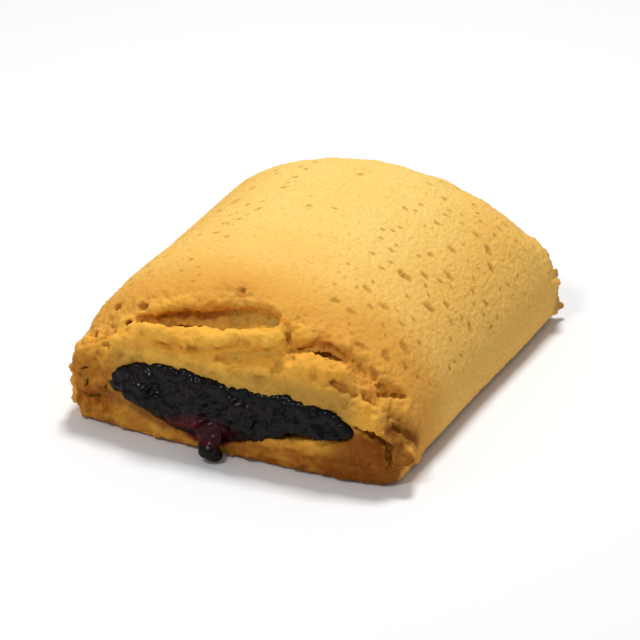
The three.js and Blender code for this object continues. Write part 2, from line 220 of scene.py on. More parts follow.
# %% Where the crumbs lie
random.seed(5)
CRUMB_FIELDS = [  # x from and to, z from and to, y, how many, radius from and to, share that is sunk
    (-22, -15, 1.5, 13, FRONT_CUT, 36, 0.7, 1.4, 0.3),
    (18, 22, 9, 12, FRONT_CUT, 10, 0.5, 1.0, 0.5),
    (19, 22, 1.5, 5, FRONT_CUT, 8, 0.5, 1.0, 0.4),
    (-14, 16, 12.5, 16.5, FRONT_CUT + 2, 14, 0.4, 0.9, 0.5),
    (-20, -14, 1.5, 11, BACK_CUT, 34, 0.7, 1.2, 0.4),
    (14, 20, 1.5, 9, BACK_CUT, 28, 0.6, 1.1, 0.5),
    (-13, 13, 10, 13.5, BACK_CUT, 30, 0.4, 0.8, 0.5),
]
BOULDERS = [  # place and radius of the lumps that stand out
    ((-17.5, -23.6, 4.9), 1.5), ((-19.3, -23.4, 2.8), 1.4), ((-18.8, -23.8, 9.2), 1.3),
    ((-16.4, -24.3, 8.8), 1.0), ((22.0, -22.6, 3.9), 1.5), ((-5.5, -24.2, 13.7), 0.8),
    ((-4.0, -24.0, 13.8), 0.8), ((10.4, -23.6, 13.4), 1.0), ((22.0, 25.9, 6.6), 0.9),
    ((22.0, 26.3, 2.6), 1.0),
]
BOULDER_SUNK = 0.2
crumb_spots = [(place, radius, BOULDER_SUNK) for place, radius in BOULDERS]
for x0, x1, z0, z1, y0, count, small, large, sunk in CRUMB_FIELDS:
    for _ in range(count):
        place = (random.uniform(x0, x1), y0, random.uniform(z0, z1))
        crumb_spots.append((place, random.uniform(small, large), sunk))
print("crumbs:", len(crumb_spots))


# %% Copy the crumb over the end walls
def stamp(model, matrix):
    """A copy of a model, with its own mesh, that a matrix places, turns and sizes."""
    one = model.copy()
    one.data = model.data.copy()
    bpy.context.scene.collection.objects.link(one)
    one.matrix_world = matrix
    return one


def join(pieces):
    """Joins several pieces into the first of them."""
    bpy.ops.object.select_all(action="DESELECT")
    for one in pieces:
        one.select_set(True)
    bpy.context.view_layer.objects.active = pieces[0]
    bpy.ops.object.join()


FULL_TURN = 6.28  # in radians
dough = copy_of("dough", "dough_crust")
lumps = [dough]
for place, radius, sunk in crumb_spots:
    spot, normal = on_crust(place)
    centre = spot - normal * radius * sunk
    centre.z = max(centre.z, radius)  # none reaches under the base
    turn = Matrix.Rotation(random.uniform(0, FULL_TURN), 4, Vector([random.uniform(-1, 1) for _ in range(3)]))
    lumps.append(stamp(crumb, Matrix.Translation(centre * MM) @ turn @ Matrix.Scale(radius, 4)))
bpy.data.objects.remove(crumb)
join(lumps)
print("dough with its crumbs, mm:", [round(side / MM, 1) for side in dough.dimensions])

# %% [markdown]
# ## Hollows
#
# Inside a tear the dough is soft and stringy, and on its lips it is dry and crumbly, so many steps below have
# to tell a hollow from a rise. A Geometry node's Pointiness sees only the finest bends and can't limit a
# modifier. So the mesh is compared with a smoothed copy of itself: where the copy lies outside, the place is
# hollow, and the more rounds of smoothing, the larger the hollows that count.

# %% How hollow each place is
def smoothed(values, edges, rounds):
    """Each round replaces every vertex's value by the mean of its neighbours'."""
    count = np.bincount(edges.ravel(), minlength=len(values)).clip(1)
    for _ in range(rounds):
        columns = []
        for column in values.T:
            total = np.bincount(edges[:, 0], column[edges[:, 1]], len(values))
            total += np.bincount(edges[:, 1], column[edges[:, 0]], len(values))
            columns.append(total / count)
        values = np.stack(columns, axis=1)
    return values


def hollowness(piece, rounds):
    """How far, in millimetres, the surface lies below a smoothed copy of itself."""
    pairs = np.empty(len(piece.data.edges) * 2, np.int32)
    piece.data.edges.foreach_get("vertices", pairs)
    place = points(piece)
    return ((smoothed(place, pairs.reshape(-1, 2), rounds) - place) * points(piece, "normal")).sum(axis=1)


# %% [markdown]
# ## The dough's body
#
# On the real cookie the crust has no edges at all, only soft swellings and ragged tears. The solid has flat
# facets about a millimetre wide. A subdivision surface would round them but keep their pattern, so the copy
# is rebuilt from small even cells with a voxel remesh, and then relaxed: much on the dome, where the facets
# must go, much inside the tears, and little near the cuts, where lips and crumbs must stay.

# %% Remesh the dough and relax its facets
CELL = 0.29  # millimetres, about the size of a grain
TEAR_ROUNDS = 40  # rounds of smoothing that tell a tear from the crust round it


def relax(piece, rounds, mask=None):
    """Smooths a piece for some rounds, all over or where a mask says so."""
    limit = {} if mask is None else {"vertex_group": group(piece, mask)}
    modify(piece, "SMOOTH", factor=0.5, iterations=rounds, **limit)


def dome_mask(piece):
    """1 on the dome, falling to 0 from 11 to 5 millimetres behind each cut."""
    return 1 - near_cuts(points(piece), 11, 5)


modify(dough, "REMESH", mode="VOXEL", voxel_size=CELL * MM)
relax(dough, 30, dome_mask(dough))
relax(dough, 2)
place = points(dough)
tears = ramp(hollowness(dough, TEAR_ROUNDS), 0.05, 0.4) * near_cuts(place, 9, 7) * ramp(place[:, 2], 12, 13.5)
relax(dough, 14, tears)
print("dough cells:", len(dough.data.polygons))

# %% [markdown]
# ## Folds and creases on the front
#
# Where the dough was pinched and cut it lies in low folds: a raised lip under the long tear, a second one
# under the short tear, creases between them, and a lip of dough under the right half of the jam. They could
# be sculpted by hand, but then nobody could change one by a number. So each fold is a line on the surface,
# and a Displace modifier without a texture lifts the dough near that line, or lowers it.

# %% Raise the folds
FOLDS = [  # from, to, half width and height, in millimetres
    ((-11.8, -20.6, 14.8), (-5.5, -19.9, 17.0), 0.8, 0.5),
    ((-5.5, -19.9, 17.0), (4.5, -19.1, 18.0), 0.8, 0.5),
    ((8.5, -21.0, 15.9), (13.5, -20.0, 15.6), 0.7, 0.4),
    ((-11.0, -23.2, 13.6), (-3.5, -22.6, 14.6), 0.8, 0.8),
    ((-3.5, -22.6, 14.6), (6.0, -22.0, 15.8), 0.9, 0.8),
    ((-9.0, -24.4, 13.0), (-2.5, -24.3, 13.1), 0.5, -0.6),
    ((-1.1, -24.4, 12.7), (6.5, -23.1, 14.8), 0.45, -0.6),
    ((-3.8, -24.4, 13.1), (2.3, -23.4, 14.8), 0.4, -0.6),
    ((-1.5, -24.9, 12.0), (5.5, -24.6, 12.6), 0.6, 0.5),
    ((6.5, -25.0, 3.2), (11.5, -25.0, 3.9), 0.8, 0.4),
    ((11.5, -25.0, 3.9), (15.8, -24.7, 5.0), 0.8, 0.4),
    ((7.0, -21.4, 16.4), (8.0, -23.2, 13.9), 0.45, -0.8),
    ((6.4, -23.4, 14.4), (6.7, -24.2, 12.8), 0.4, -0.5),
    ((8.6, -23.2, 13.6), (14.8, -22.2, 13.2), 0.8, 0.6),
    ((9.5, -24.2, 12.0), (14.0, -23.8, 11.4), 0.6, 0.4),
    ((13.4, -23.6, 12.6), (19.0, -22.8, 10.4), 0.5, -0.8),
    ((15.6, -20.2, 13.4), (17.4, -20.8, 12.4), 0.7, -0.4),
    ((16.0, -24.8, 9.3), (20.2, -23.9, 7.6), 0.8, 0.6),
    ((-19.6, -24.2, 7.0), (-18.6, -24.2, 3.6), 0.5, -0.5),
]


def near_line(place, start, end, width):
    """1 on the line from start to end, falling to 0 about two widths away from it."""
    start, end = np.array(on_crust(start)[0]), np.array(on_crust(end)[0])
    along = np.clip(((place - start) @ (end - start)) / ((end - start) @ (end - start)), 0, 1)
    gap = np.linalg.norm(place - start - along[:, None] * (end - start), axis=1)
    return np.exp(-((gap / width) ** 2))


def near_lines(place, lines):
    """The same for several lines, each given as start, end and width."""
    return np.max([near_line(place, *line) for line in lines], axis=0)


def lift(piece, height, mask, direction="NORMAL"):
    """Moves the surface out by a height in millimetres, or in if that is negative, where a mask says so."""
    modify(piece, "DISPLACE", strength=height * MM, mid_level=0, direction=direction,
           vertex_group=group(piece, mask))


place = points(dough)
for height in sorted({fold[3] for fold in FOLDS}, reverse=True):
    lift(dough, height, near_lines(place, [fold[:3] for fold in FOLDS if fold[3] == height]))
print("folds:", len(FOLDS))

# %% [markdown]
# ## Pits and nicks
#
# Small bubbles in the dough leave pits in the crust, stretched down the slope of the arch where the dough
# sagged, and the torn ends have nicks between their lumps. They are too deep for a bump map: at the edge of
# the dome they would show as paint. One pit is modelled as a round form and copied, each copy stretched and
# turned in its own way, and all of them are cut out of the dough. The large pits, the slits and the spaces
# behind the tears' lower lips are listed. The small ones are scattered at random, clear of each other and of
# the bare crown.

# %% List the large pits, the slits and the spaces under the lips
DOME_PITS = [  # angle round the bar in degrees, place along it and half length, in millimetres
    (46, 9.5, 0.6), (33, 12.8, 0.6), (26, 12.5, 0.9), (21, 10.7, 0.8), (40, -3.5, 1.1), (35, 7.0, 0.7),
    (39, 3.3, 0.6), (29, 2.7, 0.8), (35, -0.8, 0.7), (46, -10.1, 0.7), (52, -14.7, 0.8), (37, -11.0, 0.8),
    (26, -4.7, 1.0), (23, -1.6, 0.7), (22, -13.8, 1.1), (32, -18.5, 1.0), (24, -17.1, 1.0), (12, 0.4, 0.7),
    (18, -15.8, 0.7), (23, -20.3, 1.1), (44, -15.0, 0.7), (14, 5.8, 0.6), (98, 2.6, 0.5), (86, 3.2, 0.5),
    (90, 13.0, 0.5), (128, -6.0, 0.7), (140, 6.0, 0.8), (150, -12.0, 0.9), (136, 15.0, 0.7), (160, 2.0, 0.8),
]
FRONT_PITS = [  # place, half length, half width, depth, and turn from level in degrees
    ((-17.0, -18.9, 13.3), 0.7, 0.45, 0.6, 20), ((-13.8, -22.0, 13.4), 0.6, 0.5, 0.8, 0),
    ((-11.2, -23.6, 13.7), 0.6, 0.45, 0.7, 30), ((-12.8, -20.5, 15.1), 0.7, 0.45, 0.6, 10),
    ((-16.1, -23.0, 12.0), 0.7, 0.45, 0.8, 0), ((-18.5, -22.3, 11.1), 0.8, 0.45, 0.8, 40),
    ((-7.3, -24.5, 12.8), 0.6, 0.35, 0.5, 10), ((-10.3, -19.5, 17.0), 0.9, 0.3, 0.3, 0),
    ((-0.4, -18.2, 18.7), 0.9, 0.4, 0.7, 100), ((-20.3, -23.4, 8.9), 0.8, 0.4, 0.7, 30),
    ((11.0, -25.0, 9.9), 0.5, 0.3, 0.4, 0), ((-18.6, -24.0, 7.6), 0.6, 0.4, 0.7, 0),
]
SLITS = [  # from, to, half width and depth
    ((13.2, -23.7, 12.7), (15.8, -23.2, 11.6), 0.3, 0.9),
    ((16.6, -23.1, 11.6), (19.1, -22.5, 10.3), 0.35, 1.0),
    ((18.3, -21.8, 11.5), (21.1, -17.5, 9.8), 0.45, 1.2),
    ((2.9, -24.1, 11.5), (5.5, -24.3, 11.6), 0.3, 0.8),
    ((7.0, -21.2, 16.4), (8.1, -23.3, 13.9), 0.25, 0.7),
    ((20.9, -23.0, 8.2), (22.2, -18.6, 4.3), 0.9, 1.5),
    ((16.1, -24.7, 7.9), (18.8, -24.3, 7.0), 0.45, 2.2),
    ((17.0, -24.5, 7.6), (20.6, -23.8, 6.0), 0.5, 2.2),
    ((19.2, -24.1, 6.8), (21.9, -23.3, 5.3), 0.45, 2.0),
    ((21.0, -23.6, 6.6), (21.2, -23.2, 2.2), 0.45, 1.8),
    ((-20.4, -23.6, 7.5), (-18.6, -24.2, 6.0), 0.45, 1.6),
    ((-20.2, -23.2, 4.0), (-16.4, -24.4, 3.4), 0.4, 1.5),
    ((-18.9, -24.2, 6.2), (-19.2, -24.2, 4.2), 0.35, 1.5),
    ((-16.2, -24.5, 6.4), (-15.6, -24.5, 4.2), 0.35, 1.0),
    ((-17.4, -24.0, 11.2), (-15.0, -24.2, 11.0), 0.25, 0.6),
    ((-20.6, -22.8, 9.8), (-19.4, -23.6, 10.0), 0.3, 0.8),
]
UNDERCUTS = [  # middle of the space behind a tear's lower lip, half length, half height, depth, turn
    ((-6.0, -21.0, 13.8), 3.4, 0.5, 1.6, -6), ((11.0, -20.6, 13.9), 3.0, 0.5, 1.5, 2),
]
print("listed:", len(DOME_PITS + FRONT_PITS + SLITS + UNDERCUTS))

# %% Place the listed ones on the crust
random.seed(11)
OUTSIDE = 40  # a ray from this far off meets the arch from outside
ALONG_BAR, UPWARD = Vector((0, 1, 0)), Vector((0, 0, 1))
spots = []  # place on the crust, normal there, direction of the length, half length, half width and depth


def add_spot(place, turn, across, sizes):
    """Keeps what a pit near a place needs. Its length lies level across a direction, and is then turned."""
    spot, normal = on_crust(place)
    level = across.cross(normal).normalized()
    forward = Matrix.Rotation(math.radians(-turn), 3, normal) @ level
    spots.append((spot, normal, forward, sizes))


def on_dome(angle, along):
    """A place on the arch, from its angle round the bar and the way along it."""
    out = Vector((math.cos(math.radians(angle)), 0, math.sin(math.radians(angle))))
    start = Vector((0, along, AXIS_HEIGHT)) + out * OUTSIDE
    _, spot, _, _ = solid_dough.ray_cast(start * MM, -out)
    return spot / MM


for angle, along, half in DOME_PITS:
    add_spot(on_dome(angle, along), random.uniform(-25, 25), ALONG_BAR, (half * 1.15, half * 0.5, half * 0.5))
for place, *sizes, turn in FRONT_PITS:
    add_spot(place, turn, UPWARD, sizes)
for start, end, wide, deep in SLITS:
    (start, one), (end, other) = on_crust(start), on_crust(end)
    forward = (end - start).normalized()
    normal = (one + other).normalized()
    normal = (normal - forward * normal.dot(forward)).normalized()
    spots.append((on_crust((start + end) / 2)[0], normal, forward, ((end - start).length / 2, wide, deep)))
print("on the crust:", len(spots))

# %% Scatter the small pits
SMALL_PITS = 170
SMALL_HALF_LENGTHS = (0.3, 0.6)
PITTED_ANGLES = (6, 62)  # degrees round the bar from either foot, which leaves the crown bare
PITTED_LENGTH = (-19, 22)
CLEAR = 0.3  # millimetres between two pits
all_pits = len(spots) + SMALL_PITS
while len(spots) < all_pits:
    angle = random.choice((1, -1)) * random.uniform(*PITTED_ANGLES) % 180
    trial, half = on_dome(angle, random.uniform(*PITTED_LENGTH)), random.uniform(*SMALL_HALF_LENGTHS)
    if all((trial - spot).length > half + sizes[0] + CLEAR for spot, _, _, sizes in spots):
        add_spot(trial, random.uniform(-35, 35), ALONG_BAR, (half, half * 0.5, half * 0.6))
for place, *sizes, turn in UNDERCUTS:
    sloping = Vector((math.cos(math.radians(turn)), 0, -math.sin(math.radians(turn))))
    spots.append((Vector(place), -ALONG_BAR, sloping, sizes))
print("with the scattered ones and the undercuts:", len(spots))

# %% [markdown]
# ## Cutting the pits
#
# The Boolean's fast solver cuts nothing where two cutters in one object overlap, and slits that meet do. So
# the cutters go in three batches, and neighbours in the list never share one. A second remesh evens out the
# mesh, with cells a little smaller, so that the pits keep their rims.

# %% Model one pit, copy it and cut them all
BATCHES = 3
FINER = 0.93  # the second remesh's cells against the first's
pit = ball(2)
cutters = []
for spot, normal, forward, sizes in spots:
    turned = Matrix((forward, normal.cross(forward), normal)).transposed().to_4x4()
    cutters.append(stamp(pit, Matrix.Translation(spot * MM) @ turned @ Matrix.Diagonal((*sizes, 1))))
for first in range(BATCHES):
    join(cutters[first::BATCHES])
    modify(dough, "BOOLEAN", operation="DIFFERENCE", object=cutters[first], solver="MANIFOLD")
    bpy.data.objects.remove(cutters[first])
bpy.data.objects.remove(pit)
modify(dough, "REMESH", mode="VOXEL", voxel_size=CELL * FINER * MM)
relax(dough, 1)
relax(dough, 3, dome_mask(dough))
print("dough cells:", len(dough.data.polygons))

# %% [markdown]
# ## Loose bits
#
# Two cuts that cross can free a grain of dough that then floats in the air. The vertex nearest to the crown
# is selected, the selection grows to all that is linked to it, and the rest is deleted.

# %% Delete what the cuts freed
crown_vertex = int(np.linalg.norm(points(dough) - (0, 0, CROWN), axis=1).argmin())
before = len(dough.data.vertices)
pick(dough)
bpy.ops.object.mode_set(mode="EDIT")
bpy.ops.mesh.select_mode(type="VERT")
bpy.ops.mesh.select_all(action="DESELECT")
bpy.ops.object.mode_set(mode="OBJECT")
dough.data.vertices[crown_vertex].select = True
bpy.ops.object.mode_set(mode="EDIT")
bpy.ops.mesh.select_linked()
bpy.ops.mesh.select_all(action="INVERT")
bpy.ops.mesh.delete(type="VERT")
bpy.ops.object.mode_set(mode="OBJECT")
print("loose vertices deleted:", before - len(dough.data.vertices), "of", before)

# %% [markdown]
# ## Crumb and crags
#
# The dome is sandy, with grains of a third of a millimetre. Near the cuts the dough was pinched and torn, so
# it has lumps of one to three millimetres, and the insides of the tears are rough. Relief this coarse throws
# shadows, so it is real displacement along the normals, each size limited by its own mask. The large sizes
# leave the hollows out, because a swelling inside a tear would close it. The flat base and the tunnel are
# left out altogether.

# %% Relief helpers
def displace(piece, pattern, height, mask):
    """Moves the surface along its normals by a pattern, height millimetres from its low to its high."""
    modify(piece, "DISPLACE", texture=pattern, texture_coords="LOCAL", strength=height * MM, mid_level=0.5,
           vertex_group=group(piece, mask))


def from_tunnel(x, z):
    """0 in the middle of the jam's tunnel, 1 on its wall and more in the dough round it."""
    return np.hypot(x / TUNNEL_HALF_WIDTH, (z - TUNNEL_HEIGHT) / TUNNEL_HALF_HEIGHT)


def crust_mask(place, normal):
    """1 on the outside of the dough, 0 on its base and in its tunnel."""
    tunnel = ramp(-from_tunnel(place[:, 0], place[:, 2]), -1.12, -1.05)
    tunnel *= ramp(near_cuts(place, 1.2, 0.2), 1, 0)
    facing_down = ramp(-normal[:, 2], 0.6, 0.9) * ramp(-place[:, 2], -1.0, -0.2)
    return (1 - tunnel) * (1 - facing_down)


def upper_band(place):
    """1 on the smooth band of dough between the front's jam and its tears."""
    return ramp(-np.abs(place[:, 0]), -17, -12) * ramp(place[:, 2], 10, 11) * ramp(-place[:, 1], 21, 23)


# %% Displace the crust in several sizes
place = points(dough)
x, y, z = place.T
crust = crust_mask(place, points(dough, "normal"))
cut = np.where(y < 0, near_cuts(place, 8, 4), near_cuts(place, 4, 2))  # the front is torn further in
hollow = hollowness(dough, TEAR_ROUNDS)
raised = crust * (1 - ramp(hollow, 0.1, 0.45))
sides = ramp(np.abs(x), 12, 18)
front = ramp(-y, 10, 20)
calm_band = 1 - 0.5 * upper_band(place)
RELIEF = [  # name, size of its features and height in millimetres, mask, and settings of the pattern
    ("swellings", 3.0, 1.0, raised * cut * (0.4 + 0.6 * front), {"noise_depth": 2, "contrast": 1.4}),
    ("lumps", 1.9, -0.5, raised * cut * sides, {"noise_basis": "VORONOI_F1", "noise_depth": 1}),
    ("torn", 0.9, 0.4, crust * cut * ramp(hollow, 0.1, 0.35), {"noise_depth": 2}),
    ("crumbs", 0.9, 0.4, raised * (0.12 + 0.88 * cut * calm_band), {"noise_depth": 2, "contrast": 1.5}),
    ("sand", 0.45, 0.18, crust, {"noise_depth": 1, "contrast": 1.5}),
]
for name, size, height, mask, settings in RELIEF:
    displace(dough, clouds(name, size, **settings), height, mask)
print("relief added to", int((crust > 0.5).sum()), "of", len(crust), "vertices")

# %% [markdown]
# ## Fewer faces where nothing shows
#
# The base and the tunnel are hidden, and take a third of the faces. A Decimate modifier with a mask thins
# only them. Its ratio is a share of all faces, so it follows from the share that is hidden: nearly all of
# those go, and one in twenty-five of all faces is kept for them.

# %% Thin the base and the tunnel
MASK_PULL = 8.0  # how firmly the mask keeps the thinning where it is 1


def thin_out(piece, kept, mask):
    """Thins a piece to a share of its faces where a mask says so, and shades it smooth."""
    modify(piece, "DECIMATE", ratio=kept, vertex_group_factor=MASK_PULL, vertex_group=group(piece, mask))
    pick(piece)
    bpy.ops.object.shade_smooth()
    print(piece.name, "triangles:", sum(len(face.vertices) - 2 for face in piece.data.polygons))


KEPT_FOR_HIDDEN = 0.04
hidden = 1 - crust_mask(points(dough), points(dough, "normal"))
thin_out(dough, 1 + KEPT_FOR_HIDDEN - float((hidden > 0.9).mean()), ramp(hidden, 0.6, 1.0))

# %% [markdown]
# ## Crust and torn dough
#
# Colour on a cookie follows its form. The crust ends in a ragged line a few millimetres behind each cut, and
# beyond it the torn dough shows. Texture painting would need an image file, so each kind of colour is a mask
# worked out from place, hollowness and distance. The first masks are the large ones: torn dough, the crown,
# which is painted paler as a painted highlight, the deeper gold of the crust near the front, and the base.

# %% Where the crust ends
place, normal = points(dough), points(dough, "normal")
x, y, z = place.T
behind_front = y - FRONT_CUT
ragged = 0.5 * np.sin(x * 2.1 + 1.3 * z) + 0.4 * np.sin(x * 4.7 + 2.0)
front_edge = FRONT_CUT + 5.6 - 0.0097 * x * x + 0.5 * ragged
back_edge = BACK_CUT - 4.4 + 0.008 * x * x + 0.5 * ragged
torn = np.maximum(ramp(front_edge - y, -0.3, 0.9), ramp(y - back_edge, -0.3, 0.9))
attribute(dough, "torn", torn)
# The crown's mask paints the top a paler gold: a painted highlight.
attribute(dough, "crown", ramp(z, 14, 20.5) * ramp(y, -18, 4) * (1 - torn))
attribute(dough, "edge", ramp(14 + 3 * ramp(x, 8, 16) - behind_front, 0, 8) * (1 - torn))
attribute(dough, "base", ramp(-normal[:, 2], 0.3, 0.8) * ramp(-z, -1.2, -0.1))
print("torn:", round(float(torn.mean()), 3))

# %% [markdown]
# ## Toasted, brown and burnt
#
# The lips that stood up in the oven are toasted, and their orange is partly painted shade under the lips. The
# same orange in two long creases above the jam is painted shade. The foot of the cuts is browned from the
# tray, more at the corners, and is painted darker there as painted shade; the folded corner at the right is
# the darkest. Each is a box or a line with soft edges.

# %% Where the heat reached, and where shade is painted
# Lines painted orange: toasted lips, partly painted shade under them, and two creases above the jam where the
# orange is painted shade.
TOASTED_AND_SHADED = [  # from, to and half width
    ((-12.5, -21.0, 14.4), (-4.5, -20.1, 17.2), 0.7), ((-4.5, -20.1, 17.2), (6.0, -20.4, 17.5), 0.7),
    ((8.0, -21.4, 15.2), (11.2, -20.4, 16.3), 0.8), ((11.2, -20.4, 16.3), (14.8, -20.7, 14.6), 0.8),
    ((-0.8, -18.6, 18.4), (-0.2, -17.9, 18.9), 0.8), ((15.0, -20.8, 14.0), (18.0, -21.5, 11.8), 0.9),
    ((-1.1, -24.4, 12.7), (6.5, -23.1, 14.8), 0.4), ((-3.8, -24.4, 13.1), (2.3, -23.4, 14.8), 0.35),
]
# The foot's brown: browning from the tray, and painted shade where the floor would light the lower front.
brown_and_shade = np.maximum.reduce([
    ramp(-x, 12.5, 16.5) * ramp(-z, -11, -7.5),
    (0.6 + 0.4 * ramp(x, -6, 6)) * ramp(-z, -4.8, -2.5),
    ramp(x, 15, 17.5) * ramp(-z, -8.0, -6.0),
])
burnt = np.maximum.reduce([
    0.8 * ramp(x, 11.5, 15.5) * ramp(-z, -7.8, -5.8) * ramp(3.2 - behind_front, 0, 0.8),
    near_line(place, (21.0, -23.0, 7.8), (22.2, -19.0, 4.6), 1.3),
    0.6 * near_line(place, (22.3, 26.0, 8.2), (22.5, 26.8, 1.2), 1.7),
])
attribute(dough, "toasted_and_shade", near_lines(place, TOASTED_AND_SHADED))
attribute(dough, "brown_and_shade", brown_and_shade * torn)
attribute(dough, "burnt", burnt)
print("brown:", round(float((brown_and_shade * torn).mean()), 3), "burnt:", round(float(burnt.mean()), 3))

# %% [markdown]
# ## Hollows, pits and ridges: painted shade and highlight
#
# Hollows and cracks stay moist and are more orange, and they are also painted darker, which is painted shade.
# The inside of the tears turns khaki near the middle. The deepest hollows and the crevices are painted a
# darker brown as painted shade, and the pits get an orange tint and painted shade. High spots of the band
# above the jam are painted a brighter yellow, a painted highlight. The pits are known by place, so their mask
# is worked out from the list that they were cut from.

# %% Painted shade where it is hollow or pitted, painted highlight where raised
hollow = hollowness(dough, 50)
# Painted shade: small crevices are darkened, more near the cuts.
crevice_shade = ramp(hollowness(dough, 8), 0.05, 0.25) * (0.25 + 0.75 * near_cuts(place, 8, 5))
# The pits' mask: an orange tint of their own, and painted shade.
pit_tint_and_shade = np.zeros(len(place))
for spot, _, forward, (half, wide, _) in spots[:-len(UNDERCUTS)]:
    offset = place - np.array(spot)
    near = np.flatnonzero((offset ** 2).sum(axis=1) < (1.4 * half) ** 2)
    along = offset[near] @ np.array(forward)
    across = np.sqrt(np.maximum((offset[near] ** 2).sum(axis=1) - along ** 2, 0))
    from_middle = np.hypot(along / half, across / (wide + 0.1))
    pit_tint_and_shade[near] = np.maximum(pit_tint_and_shade[near], ramp(-from_middle, -1.1, -0.6))
# The hollows get a darker orange or olive: partly the moist dough's own colour, partly painted shade.
attribute(dough, "hollow", ramp(hollow, 0.15, 0.6))
# Painted shade: the deepest hollows get a dark brown.
attribute(dough, "deep", ramp(hollow, 0.7, 1.5))
attribute(dough, "khaki", ramp(x, -6, 0) * ramp(-x, -8, -6))
attribute(dough, "crevice_shade", crevice_shade * (1 - 0.6 * upper_band(place)))
attribute(dough, "pit", pit_tint_and_shade)
# Painted highlight: the high spots of the band above the jam get a brighter yellow.
attribute(dough, "ridge_highlight",
          ramp(-hollow, 0.08, 0.45) * ramp(-y, 21.4, 22.4) * ramp(z, 9, 12) * ramp(-x, -8, -5))
print("in pits:", round(float((pit_tint_and_shade > 0.5).mean()), 3))

# %% [markdown]
# ## Along the jam
#
# Above the jam the dough steamed and stayed pale, in a strip along the jam's upper edge. Under its left half,
# and where the drip runs over the lip, the juice has stained the dough.

# %% Pale and stained dough
BAR_X, BAR_Z, BAR_HALF_WIDTH, BAR_HALF_HEIGHT = 0.8, 6.6, 14, 3.1  # a flat bar that lies in the jam
beside = np.maximum(np.abs(x - BAR_X) - BAR_HALF_WIDTH, 0)
above = np.maximum(np.abs(z - BAR_Z - JAM_SLOPE * x) - BAR_HALF_HEIGHT, 0)
under_drip = ramp(-np.hypot((x - DRIP_X + 1.8) / 3.5, (z - 2.7) / 1.6), -1.2, -0.8)
under_jam = ramp(-from_tunnel(x, z) - 0.04 * ragged, -1.22, -1.04) * ramp(-z, -6.5, -4.5) * ramp(-x, -2, 2)
attribute(dough, "pale", torn * ramp(-np.hypot(beside, above), -3.4, -0.8) * ramp(z, 7, 9))
attribute(dough, "stain", np.maximum(under_drip, 0.6 * under_jam) * ramp(2 - behind_front, 0, 1))
print("stained:", round(float((under_drip > 0.5).mean()), 3))

# %% [markdown]
# ## The jam's body
#
# The jam is a thick mass of cooked berries: small round drupelets pressed together, pushed out a little at
# each end by the heat. A cell-shaped pattern gives lumps that all look alike, so one drupelet is modelled,
# and copies of it, in many sizes, are half sunk into both ends and welded by a remesh. A ray test keeps them
# inside the outline of the solid, except a row of small ones that overlap the dough along the top edge, as
# they do on the real one. One flat lump makes the bottom of the bead on the drip round.

# %% Model one drupelet and copy it over both ends
random.seed(3)
DRUPELETS = ((-1, 170), (1, 150))  # the side that they face and how many: the front, then the back
ACROSS, UP, RADII = (-15.8, 16.8), (3.2, 11), (0.5, 1.05)  # where they may lie, and how large they are
SUNK = 0.15  # share of the radius that a drupelet's middle lies below the surface
CLEAR_OF_JAM = 60  # rays start this far off in front of an end
drupelet = ball(2)
solid_jam = frame["nodes"]["jam"]
jam = copy_of("jam", "berry_jam")
lumps = [jam]


def add_drupelet(centre, *half_sizes):
    """One lump at a place, in metres, with its half sizes in millimetres."""
    lumps.append(stamp(drupelet, Matrix.Translation(centre) @ Matrix.Diagonal((*half_sizes, 1))))


for side, count in DRUPELETS:
    while count:
        x, z, radius = random.uniform(*ACROSS), random.uniform(*UP), random.uniform(*RADII)
        seen = [solid_jam.ray_cast(Vector((x + dx * radius, side * CLEAR_OF_JAM, z + dz * radius)) * MM,
                                   Vector((0, -side, 0)))
                for dx, dz in ((0, 0), (1, 0), (-1, 0), (0, 1), (0, -1))]
        _, spot, normal, _ = seen[0]
        if not all(hit for hit, *_ in seen) or side * normal.y < 0.2:
            continue
        centre = spot - normal * radius * SUNK * MM
        add_drupelet(centre, radius * random.uniform(0.8, 1.3), radius * 0.8, radius)
        count -= 1
print("drupelets:", len(lumps) - 1)

# %% Add the row along the top edge and the bead, and join them all
EDGE_DRUPELETS = 30
EDGE_ACROSS, EDGE_RADII = (-14, 15), (0.45, 0.75)
EDGE_HALF_WIDTH, EDGE_HALF_HEIGHT = 15.6, 4.5  # of the curve that they lie on
BEAD_HALF_SIZES = (1.6, 1.45, 1.2)
BEAD_BEHIND, BEAD_HEIGHT = 1.9, 1.25  # its middle, from the drip's front and from the ground
for _ in range(EDGE_DRUPELETS):
    x, radius = random.uniform(*EDGE_ACROSS), random.uniform(*EDGE_RADII)
    top = TUNNEL_HEIGHT + JAM_SLOPE * x + EDGE_HALF_HEIGHT * math.sqrt(1 - (x / EDGE_HALF_WIDTH) ** 2)
    _, spot, _, _ = solid_jam.closest_point_on_mesh(Vector((x, FRONT_CUT - 0.6, top)) * MM)
    add_drupelet(spot, radius * 1.1, radius * 0.8, radius)
add_drupelet(Vector((DRIP_X, jam_low.y + BEAD_BEHIND, BEAD_HEIGHT)) * MM, *BEAD_HALF_SIZES)
bpy.data.objects.remove(drupelet)
join(lumps)
print("lumps:", len(lumps) - 1)

# %% [markdown]
# ## The jam's relief
#
# The remesh welds the drupelets, and two fine patterns give them pips and pulp. Inside the tunnel the jam is
# swollen a little, so that it touches the dough and no dark gap shows.

